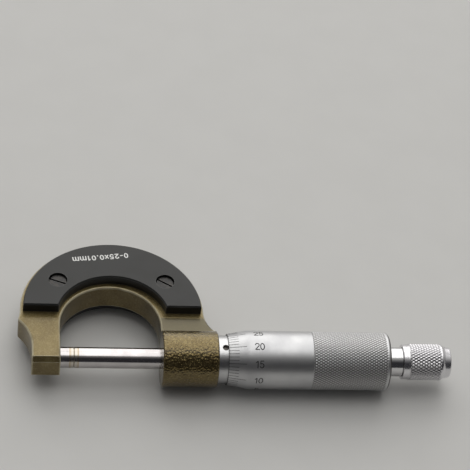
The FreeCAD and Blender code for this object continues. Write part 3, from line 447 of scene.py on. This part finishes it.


# The split nut and the ratchet's parts stay as they were turned, in plain steel. The inner sleeve,
# which shows only through the scale sleeve's hole, is painted dark: partly old oil, partly painted shade for
# the hole.
plain_steel, tree, shader = start_finish("plain_turned_steel", (0.42, 0.41, 0.4), 0.34, 1.0)
drift = add_rings(tree, shader, 3200.0, 0.000006, 0.28, 0.42)
drift_colour(tree, shader, drift, (0.44, 0.43, 0.42), (0.3, 0.29, 0.28))
for node in ("adjusting_nut", "ratchet_wheel", "ratchet_pawl", "lock_stud"):
    dress(node, plain_steel)
oil_and_shade_steel, tree, shader = start_finish("oil_and_shade_steel", (0.1, 0.09, 0.08), 0.4, 0.8)
drift = add_rings(tree, shader, 3200.0, 0.000006, 0.34, 0.5)
drift_colour(tree, shader, drift, (0.12, 0.11, 0.10), (0.05, 0.045, 0.04))
dress("inner_sleeve", oil_and_shade_steel)


# The ratchet's spring stands between the pawl ring and the knob's end wall. It is the same coil as
# the imported one, and rides on the knob.
spring_steel, tree, shader = start_finish("spring_wire", (0.42, 0.41, 0.4), 0.3, 1.0)
add_rings(tree, shader, 1500.0, 0.000003, 0.25, 0.4)
packed_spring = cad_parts["ratchet_spring"]
coil_mesh = packed_spring.data.copy()
coil_mesh.transform(packed_spring.matrix_world)
coil_mesh.materials.clear()
coil_mesh.materials.append(spring_steel)
coil = bpy.data.objects.new("spring_coil", coil_mesh)
bpy.context.collection.objects.link(coil)
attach(coil, "ratchet_knob")
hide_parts("ratchet_spring")
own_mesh(coil)


# The thimble is one turned shell with a graduated bevel, a plain barrel and a fine diamond knurl,
# plated in satin chrome. The knurl is two sets of grooves rolled across each other.
def knurl_height(turn, along, count, pitch, flat):
    """The height of a diamond knurl, 0 in a groove and 1 on a diamond's top: the smaller of two
    saw-tooth waves in u = count turn / 2 pi + x / pitch and v = count turn / 2 pi - x / pitch,
    each the distance to its nearest groove, with the tops cut flat."""
    first = count * turn / (2 * np.pi) + along / pitch
    second = count * turn / (2 * np.pi) - along / pitch
    near = np.minimum(np.abs(first - np.round(first)), np.abs(second - np.round(second))) * 2
    return np.minimum(near / flat, 1.0)


def turned_surface(profile, steps, count, pitch, depth, flat):
    """A closed surface turned round the axis: the point at profile place s and turn t is
    (x(s), axis_y + r cos t, axis_z + r sin t), with r = r(s) less what the knurl cuts away."""
    x, radius, cut = (column[:, None] for column in np.array(profile).T)
    turn = np.arange(steps) * 2 * np.pi / steps
    radius = radius - depth * cut * (1 - knurl_height(turn[None], x, count, pitch, flat))
    points = np.stack([
        np.broadcast_to(x, radius.shape),
        axis_y + radius * np.cos(turn),
        axis_z + radius * np.sin(turn),
    ], 2).reshape(-1, 3)
    row, column = np.arange(len(profile))[:, None], np.arange(steps)[None]
    next_row, next_column = (row + 1) % len(profile), (column + 1) % steps
    corners = ((row, column), (row, next_column), (next_row, next_column), (next_row, column))
    return points, np.stack([(station * steps + spoke).ravel() for station, spoke in corners], 1)


def run(x_start, r_start, x_stop, r_stop, count, cut=0.0):
    """Evenly spaced stations on a straight run of a profile, its last point left to the next run."""
    share = np.arange(count) / count
    return [
        (x_start + (x_stop - x_start) * s, r_start + (r_stop - r_start) * s, cut) for s in share
    ]


def rounding(x, r, reach, start, stop, count):
    """Stations on a rounded edge: (x + reach cos a, r + reach sin a), a from start to stop."""
    turn = np.radians(np.linspace(start, stop, count))
    return [(x + reach * np.cos(a), r + reach * np.sin(a), 0.0) for a in turn]


def depth_below(tree, sides, radius):
    """How far a point lies below a radius: the radius less the root of y squared plus z squared."""
    off_y = calc(tree, "SUBTRACT", sides["Y"], axis_y)
    off_z = calc(tree, "SUBTRACT", sides["Z"], axis_z)
    squares = calc(tree, "ADD", times(tree, off_y, off_y), times(tree, off_z, off_z))
    return calc(tree, "SUBTRACT", radius, calc(tree, "SQRT", squares))


thimble_low, thimble_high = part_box("thimble")
mouth, tail = thimble_low.x, thimble_high.x
barrel = (thimble_high.z - thimble_low.z) / 2
bevel_end, knurl_start = mouth + 0.0064, mouth + 0.0264
mouth_radius, mouth_bore, lip = 0.00785, 0.00762, 0.00006
tail_round = 0.0011
knurl_end = tail - tail_round - 0.0001
knurl_pitch, knurl_count, knurl_depth, knurl_flat = 0.00144, 66, 0.0002, 0.95
thimble_steps = 462
knurl_rows = int(round((knurl_end - knurl_start) / (knurl_pitch / 8)))
stem_hole, inner_face = 0.00153, tail - 0.0055
profile = (
    run(mouth, mouth_bore, mouth, mouth_radius - lip, 2)
    + rounding(mouth + lip, mouth_radius - lip, lip, 180, 100, 4)
    + run(mouth + 0.0001, mouth_radius + 0.00002, bevel_end - 0.0002, barrel - 0.00004, 10)
    + run(bevel_end, barrel, knurl_start - 0.00022, barrel, 16)
    + run(knurl_start - 0.0002, barrel, knurl_start - 0.00002, barrel, 2)
    + run(knurl_start, barrel, knurl_end, barrel, knurl_rows, 1.0)
    + rounding(tail - tail_round, barrel - tail_round, tail_round, 90, 0, 9)
    + run(tail, barrel - tail_round - 0.0001, tail, stem_hole, 6)
    + run(tail, stem_hole, inner_face, stem_hole, 4)
    + run(inner_face, stem_hole, inner_face, mouth_bore, 4)
    + run(inner_face, mouth_bore, mouth, mouth_bore, 12)
)
shell = turned_surface(profile[::-1], thimble_steps, knurl_count, knurl_pitch, knurl_depth, knurl_flat)
thimble_chrome, tree, shader = start_finish("thimble_chrome", (0.6, 0.6, 0.605), 0.3, 1.0)
drift = add_rings(tree, shader, 6500.0, 0.000003, 0.36, 0.45)
sides = add_node(tree, "SeparateXYZ", {0: find_place(tree)}).outputs
in_groove = ease(tree, depth_below(tree, sides, barrel), 0.00010, 0.00018)
on_knurl = ease(tree, sides["X"], knurl_start - 0.00005, knurl_start)
# The mouth's end face and its first fraction of a millimetre are painted near-black: painted shade for the
# narrow gap round the sleeve.
mouth_painted_shade = ease(tree, sides["X"], mouth + 0.00012, mouth + 0.00018, 0.85, 0.0)
tint = drift_colour(tree, shader, drift, light_satin, dark_satin)
tint = blend_colours(tree, times(tree, on_knurl, 0.8), tint, (0.60, 0.60, 0.605))
# The knurl's grooves are painted dark: partly grime, partly painted shade in the grooves.
tint = blend_colours(tree, times(tree, in_groove, on_knurl, 0.92), tint, (0.10, 0.095, 0.09))
tint = blend_colours(tree, mouth_painted_shade, tint, (0.08, 0.08, 0.08))
tree.links.new(tint, shader.inputs["Base Color"])
thimble = put_piece("thimble_shell", [shell], thimble_chrome, "thimble")
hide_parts("thimble")


# The thimble's bevel has fifty engraved divisions, filled with black, each a hundredth of a
# millimetre of travel. Every fifth is longer and numbered on the barrel.
black_fill, tree, shader = start_finish("engraver_black", (0.02, 0.02, 0.02), 0.6)
rubbed = noise(tree, find_place(tree), 2600.0, 2.0)
ink = blend_colours(tree, ease(tree, rubbed, 0.45, 0.75), (0.018, 0.018, 0.018), (0.11, 0.11, 0.11))
tree.links.new(ink, shader.inputs["Base Color"])


def round_axis(path, angle, radius):
    """Wraps flat points onto the axis: x stays, y becomes a turn of y / radius from an angle that is
    measured from the front, upward, and the level adds to the radius."""
    turn = np.radians(angle) + path[:, 1] / radius
    reach = radius + path[:, 2]
    return np.stack([path[:, 0], axis_y - reach * np.cos(turn), axis_z + reach * np.sin(turn)], 1)


# The division 15 stands 39.8 degrees up from the front.
divisions, division_angle = 50, 7.2
zero_angle = 39.8 - 15 * division_angle
number_height, number_gap, number_width, number_x = 0.0021, 0.2, 0.0003, 0.00945
sunk, proud = -0.00002, 0.000012
slope = (barrel - mouth_radius) / (bevel_end - mouth)
parts = []
for division in range(divisions):
    angle = zero_angle + division * division_angle
    length = 0.0052 if division % 5 == 0 else 0.0029
    flat = line((mouth + 0.0002, 0.0), (mouth + 0.0002 + length, 0.0))
    path, faces = stroke_slab(flat, 0.00016, -0.00003, proud)
    path[:, 2] += mouth_radius + (path[:, 0] - mouth) * slope - barrel
    parts.append((round_axis(path, angle, barrel), faces))
    if division % 5 == 0:
        for stroke in write_strokes(str(division), number_height, number_gap):
            path, faces = stroke_slab(stroke + (mouth + number_x, 0.0), number_width, sunk, proud)
            parts.append((round_axis(path, angle, barrel), faces))
put_piece("thimble_graduations", parts, black_fill, "thimble", smooth=False)


# The sleeve carries the main scale under the thimble: an index line along it, a mark for each
# millimetre on one side and each half on the other, and a number every five.
def sleeve_stroke(flat, width):
    """Adds one stroke to the sleeve's scale, wrapped round the sleeve at the index line's angle."""
    path, faces = stroke_slab(flat, width, sunk, 0.00001)
    parts.append((round_axis(path, zero_angle, sleeve_radius), faces))


sleeve_low, sleeve_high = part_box("scale_sleeve")
sleeve_radius = (sleeve_high.z - sleeve_low.z) / 2
halves, half_millimetre = 50, 0.0005
line_start, line_end = mouth - 0.0004, mouth + 0.0258
mark_width, off_line, short_mark, long_mark = 0.00014, 0.00005, 0.0015, 0.0024
number_height, number_off_line, number_width = 0.0017, 0.0036, 0.00022
parts = []
sleeve_stroke(line((line_start, 0.0), (line_end, 0.0)), mark_width)
for half in range(halves + 1):
    at = mouth + half * half_millimetre
    if half % 2:
        sleeve_stroke(line((at, -off_line), (at, -short_mark)), mark_width)
    else:
        length = long_mark if half % 10 == 0 else short_mark
        sleeve_stroke(line((at, off_line), (at, length)), mark_width)
    if half % 10 == 0:
        for stroke in write_strokes(str(half // 2), number_height, number_gap):
            sleeve_stroke(stroke + (at, number_off_line), number_width)
put_piece("sleeve_scale", parts, black_fill, "scale_sleeve", smooth=False)


# The ratchet knob is turned brass with bright chrome: a plain collar, a coarse diamond knurl for
# the fingertips and a tapered end with a sunk screw.
knob_low, knob_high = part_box("ratchet_knob")
knob_front, knob_back = knob_low.x, knob_high.x
grip = (knob_high.z - knob_low.z) / 2
collar, bore, screw_bore, stem_bore = 0.00545, 0.0044, 0.0027, 0.00163
collar_end, grip_end, bevel_stop = knob_front + 0.0021, knob_front + 0.0122, knob_front + 0.0133
end_radius, end_round, collar_round = grip - 0.00095, 0.0005, 0.00025
end_wall, sunk_face = knob_front + 0.0118, knob_back - 0.0013
grip_pitch, grip_count, grip_depth, grip_flat = 0.00164, 38, 0.00022, 0.95
knob_steps = 456
grip_rows = int(round((grip_end - collar_end - 0.0004) / (grip_pitch / 10)))
profile = (
    run(knob_front, bore, knob_front, collar - collar_round, 3)
    + rounding(knob_front + collar_round, collar - collar_round, collar_round, 180, 90, 6)
    + run(knob_front + 0.0003, collar, collar_end - 0.0001, collar, 5)
    + run(collar_end, collar, collar_end + 0.0002, grip, 3)
    + run(collar_end + 0.0002, grip, grip_end - 0.0002, grip, grip_rows, 1.0)
    + run(grip_end - 0.0002, grip, grip_end + 0.0002, grip - 0.00003, 3)
    + run(grip_end + 0.0002, grip - 0.00003, bevel_stop - 0.0001, grip - 0.00064, 5)
    + run(bevel_stop, grip - 0.00068, knob_back - end_round - 0.0001, end_radius + 0.00001, 6)
    + rounding(knob_back - end_round, end_radius - end_round, end_round, 90, 0, 7)
    + run(knob_back, end_radius - end_round - 0.0001, knob_back, screw_bore, 4)
    + run(knob_back, screw_bore, sunk_face, screw_bore, 4)
    + run(sunk_face, screw_bore, sunk_face, stem_bore, 3)
    + run(sunk_face, stem_bore, end_wall, stem_bore, 4)
    + run(end_wall, stem_bore, end_wall, bore, 4)
    + run(end_wall, bore, knob_front, bore, 8)
)
shell = turned_surface(profile[::-1], knob_steps, grip_count, grip_pitch, grip_depth, grip_flat)
knob_colour = (0.74, 0.73, 0.75)
knob_chrome, tree, shader = start_finish("knob_chrome", knob_colour, 0.2, 1.0)
add_rings(tree, shader, 5000.0, 0.000003, 0.18, 0.27)
sides = add_node(tree, "SeparateXYZ", {0: find_place(tree)}).outputs
in_groove = ease(tree, depth_below(tree, sides, grip), 0.00012, 0.00021)
past_collar = ease(tree, sides["X"], collar_end + 0.0001, collar_end + 0.0003)
before_end = ease(tree, sides["X"], grip_end - 0.0004, grip_end - 0.0002, 1.0, 0.0)
# The knurl's grooves are painted dark: partly grime, partly painted shade in the grooves.
groove_grime_and_shade = times(tree, in_groove, times(tree, past_collar, before_end), 0.8)
tree.links.new(blend_colours(tree, groove_grime_and_shade, knob_colour, (0.08, 0.075, 0.08)), shader.inputs["Base Color"])
knob = put_piece("knob_shell", [shell], knob_chrome, "ratchet_knob")
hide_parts("ratchet_knob")


# The stem, the end screw and the clamp's lever and screw are steel, polished and bright-plated.
# Fingers and cloths keep their edges a little brighter than their faces.
plated = (0.7, 0.695, 0.7)
bright_chrome, tree, shader = start_finish("bright_chrome", plated, 0.12, 1.0)
add_rings(tree, shader, 5000.0, 0.000002, 0.09, 0.18)
tint = blend_colours(tree, times(tree, wear_mask(tree, 0.0001), 0.5), plated, (0.85, 0.85, 0.85))
tree.links.new(tint, shader.inputs["Base Color"])
for node in ("ratchet_stem", "end_screw", "lock_lever", "lever_screw"):
    dress(node, bright_chrome)


# The clamp's shoe is a plain brass slug that sits in the frame beside the spindle.
# Brass is softer than the spindle, so that it grips without leaving a mark.
slug_brass, tree, shader = start_finish("slug_brass", (0.7, 0.53, 0.25), 0.3, 1.0)
drift = add_rings(tree, shader, 2500.0, 0.000004, 0.26, 0.4)
drift_colour(tree, shader, drift, (0.72, 0.55, 0.27), (0.5, 0.36, 0.16))
dress("lock_shoe", slug_brass)


# A pale studio floor, which isn't part of the tool, painted flat in a warm grey.
# The tool stands on it, and it keeps the tool's soft shadow.
def flat_sheet(name, height, half, lines):
    """A level square grid round the origin, at a height, with its faces upward."""
    grid_x, grid_y = np.meshgrid(np.linspace(-half, half, lines), np.linspace(-half, half, lines))
    points = np.stack([grid_x, grid_y, np.full_like(grid_x, height)], 2).reshape(-1, 3)
    corner = (np.arange(lines - 1)[:, None] * lines + np.arange(lines - 1)[None]).ravel()
    faces = np.stack([corner, corner + 1, corner + 1 + lines, corner + lines], 1)
    mesh = bpy.data.meshes.new(name)
    mesh.from_pydata(points.tolist(), [], faces.tolist())
    sheet = bpy.data.objects.new(name, mesh)
    bpy.context.collection.objects.link(sheet)
    return sheet


floor_paint, tree, shader = start_finish("studio_floor", (0.6, 0.595, 0.58), 0.65)
speckle = noise(tree, find_place(tree), 60.0, 6.0)
tone = blend_colours(tree, ease(tree, speckle, 0.3, 0.7), (0.606, 0.601, 0.586), (0.594, 0.589, 0.574))
tree.links.new(tone, shader.inputs["Base Color"])
floor = flat_sheet("studio_floor", -0.00005, 4.0, 9)
floor.data.materials.append(floor_paint)


# One wide soft panel hangs over the tool and one behind it, as the photo's highlights show, with
# a weak fill in front that the polished steel doesn't show. The room is pale above and behind
# the tool and dim in front of it.
def hang_panel(name, place, wide, high, power, colour):
    """A rectangular lamp at a place, turned so that its face looks at the origin."""
    data = bpy.data.lights.new(name, "AREA")
    data.shape = "RECTANGLE"
    data.size, data.size_y = wide, high
    data.energy = power
    data.color = colour
    panel = bpy.data.objects.new(name, data)
    bpy.context.collection.objects.link(panel)
    away = np.array(place) / np.linalg.norm(place)
    side = np.cross((0.0, 0.0, 1.0), away)
    side /= np.linalg.norm(side)
    panel.matrix_world = turn_and_place([side, np.cross(away, side), away], place)
    return panel


hang_panel("over_panel", (0.12, 0.13, 1.3), 0.8, 1.1, 3.5, (1.0, 0.995, 0.985))
hang_panel("back_panel", (0.0, 1.12, 0.84), 1.5, 1.3, 7.8, (1.0, 0.99, 0.97))
fill = hang_panel("front_fill", (0.2, -1.2, 0.6), 1.2, 0.6, 0.8, (0.98, 0.985, 1.0))
fill.visible_glossy = False
room = bpy.data.worlds.new("pale_room")
bpy.context.scene.world = room
room.use_nodes = True
tree = room.node_tree
facing = add_node(tree, "TexCoord").outputs["Generated"]
up_and_back = (0.0, 0.77, 0.64)
share = add_node(tree, "VectorMath", {0: facing, 1: up_and_back}, operation="DOT_PRODUCT").outputs["Value"]
glow = blend_colours(tree, ease(tree, share, -0.2, 0.8), (0.03, 0.03, 0.033), (0.62, 0.615, 0.60))
tree.links.new(glow, tree.nodes["Background"].inputs["Color"])
bpy.context.scene.view_settings.view_transform = "Standard"
